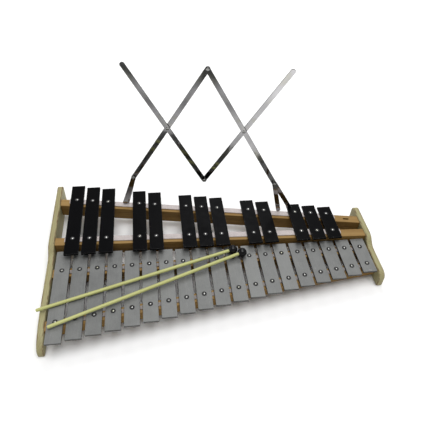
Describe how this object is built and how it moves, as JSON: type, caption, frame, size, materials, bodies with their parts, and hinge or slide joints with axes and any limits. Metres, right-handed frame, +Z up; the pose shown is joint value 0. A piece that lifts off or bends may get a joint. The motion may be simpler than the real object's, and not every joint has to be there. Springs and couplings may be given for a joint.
{
  "type": "xylophone",
  "caption": "Practice xylophone with tuned metal bars in two rows, nailed over felted rails between wooden end boards, with a folding music stand and ball mallets.",
  "frame": {"origin": "centre of the whole object's box, on the surface it stands on", "axes": "+X along the keyboard towards the high notes, +Y away from the player, +Z up"},
  "size_m": [0.601, 0.36, 0.3454],
  "materials": {
    "natural_bar": "satin",
    "black_bar": "satin",
    "pine": "satin",
    "pale_wood": "satin",
    "felt": "matte",
    "chrome_steel": "gloss",
    "black_ball": "gloss",
    "pale_stick": "satin"
  },
  "bodies": {
    "frame": {"bar_A5": "natural_bar", "bar_A6": "natural_bar", "bar_A7": "natural_bar", "bar_As5": "black_bar", "bar_As6": "black_bar", "bar_As7": "black_bar", "bar_B5": "natural_bar", "bar_B6": "natural_bar", "bar_B7": "natural_bar", "bar_C6": "natural_bar", "bar_C7": "natural_bar", "bar_C8": "natural_bar", "bar_Cs6": "black_bar", "bar_Cs7": "black_bar", "bar_D6": "natural_bar", "bar_D7": "natural_bar", "bar_Ds6": "black_bar", "bar_Ds7": "black_bar", "bar_E6": "natural_bar", "bar_E7": "natural_bar", "bar_F5": "natural_bar", "bar_F6": "natural_bar", "bar_F7": "natural_bar", "bar_Fs5": "black_bar", "bar_Fs6": "black_bar", "bar_Fs7": "black_bar", "bar_G5": "natural_bar", "bar_G6": "natural_bar", "bar_G7": "natural_bar", "bar_Gs5": "black_bar", "bar_Gs6": "black_bar", "bar_Gs7": "black_bar", "end_board_left": "pale_wood", "end_board_right": "pale_wood", "felt_accidental_front": "felt", "felt_accidental_rear": "felt", "felt_natural_front": "felt", "felt_natural_rear": "felt", "rail_accidental_front": "pine", "rail_accidental_rear": "pine", "rail_natural_front": "pine", "rail_natural_rear": "pine"},
    "stand_legs_left": {"stand_leg_left_1": "chrome_steel", "stand_leg_left_2": "chrome_steel", "stand_rivet_foot_left": "chrome_steel"},
    "stand_low_left": {"stand_strip_low_left": "chrome_steel", "stand_rivet_cross_left": "chrome_steel", "stand_rivet_apex": "chrome_steel"},
    "stand_high_left": {"stand_strip_high_left": "chrome_steel", "stand_rivet_bottom": "chrome_steel"},
    "stand_low_right": {"stand_strip_low_right": "chrome_steel", "stand_rivet_cross_right": "chrome_steel", "stand_rivet_foot_right": "chrome_steel"},
    "stand_high_right": {"stand_strip_high_right": "chrome_steel"},
    "stand_legs_right": {"stand_leg_right_1": "chrome_steel", "stand_leg_right_2": "chrome_steel"},
    "mallet_a": {"mallet_a_head": "black_ball", "mallet_a_stick": "pale_stick"},
    "mallet_b": {"mallet_b_head": "black_ball", "mallet_b_stick": "pale_stick"}
  },
  "joints": [
    {"name": "stand_lift", "type": "slide", "parent": "frame", "child": "stand_legs_left", "axis": [0, 0, 1], "range_m": [0, 0.27]},
    {"name": "stand_foot_left_pivot", "type": "hinge", "parent": "stand_legs_left", "child": "stand_low_left", "pos_m": [-0.13887, 0.10952, 0.11489], "axis": [-0.1392, -0.9903, 0], "range_deg": [0, 27.09]},
    {"name": "stand_cross_left_pivot", "type": "hinge", "parent": "stand_low_left", "child": "stand_high_left", "pos_m": [-0.07354, 0.09948, 0.228], "axis": [-0.1392, -0.9903, 0], "range_deg": [-54.09, 0]},
    {"name": "stand_apex_pivot", "type": "hinge", "parent": "stand_low_left", "child": "stand_low_right", "pos_m": [-0.00908, 0.09042, 0.33938], "axis": [-0.1392, -0.9903, 0], "range_deg": [-54.09, 0]},
    {"name": "stand_cross_right_pivot", "type": "hinge", "parent": "stand_low_right", "child": "stand_high_right", "pos_m": [0.05537, 0.08137, 0.228], "axis": [-0.1392, -0.9903, 0], "range_deg": [0, 54.09]},
    {"name": "stand_foot_right_pivot", "type": "hinge", "parent": "stand_low_right", "child": "stand_legs_right", "pos_m": [0.1207, 0.07133, 0.11489], "axis": [-0.1392, -0.9903, 0], "range_deg": [0, 27.09]},
    {"name": "mallet_a_lift", "type": "slide", "parent": "frame", "child": "mallet_a", "axis": [0, 0, 1], "range_m": [0, 0.15]},
    {"name": "mallet_b_lift", "type": "slide", "parent": "frame", "child": "mallet_b", "axis": [0, 0, 1], "range_m": [0, 0.15]}
  ],
  "couplings": [
    {"joint": "stand_foot_left_pivot", "follows": "stand_lift", "rad_per_m": 1.745},
    {"joint": "stand_cross_left_pivot", "follows": "stand_lift", "rad_per_m": -3.49},
    {"joint": "stand_apex_pivot", "follows": "stand_lift", "rad_per_m": -3.49},
    {"joint": "stand_cross_right_pivot", "follows": "stand_lift", "rad_per_m": 3.49},
    {"joint": "stand_foot_right_pivot", "follows": "stand_lift", "rad_per_m": 1.745}
  ]
}
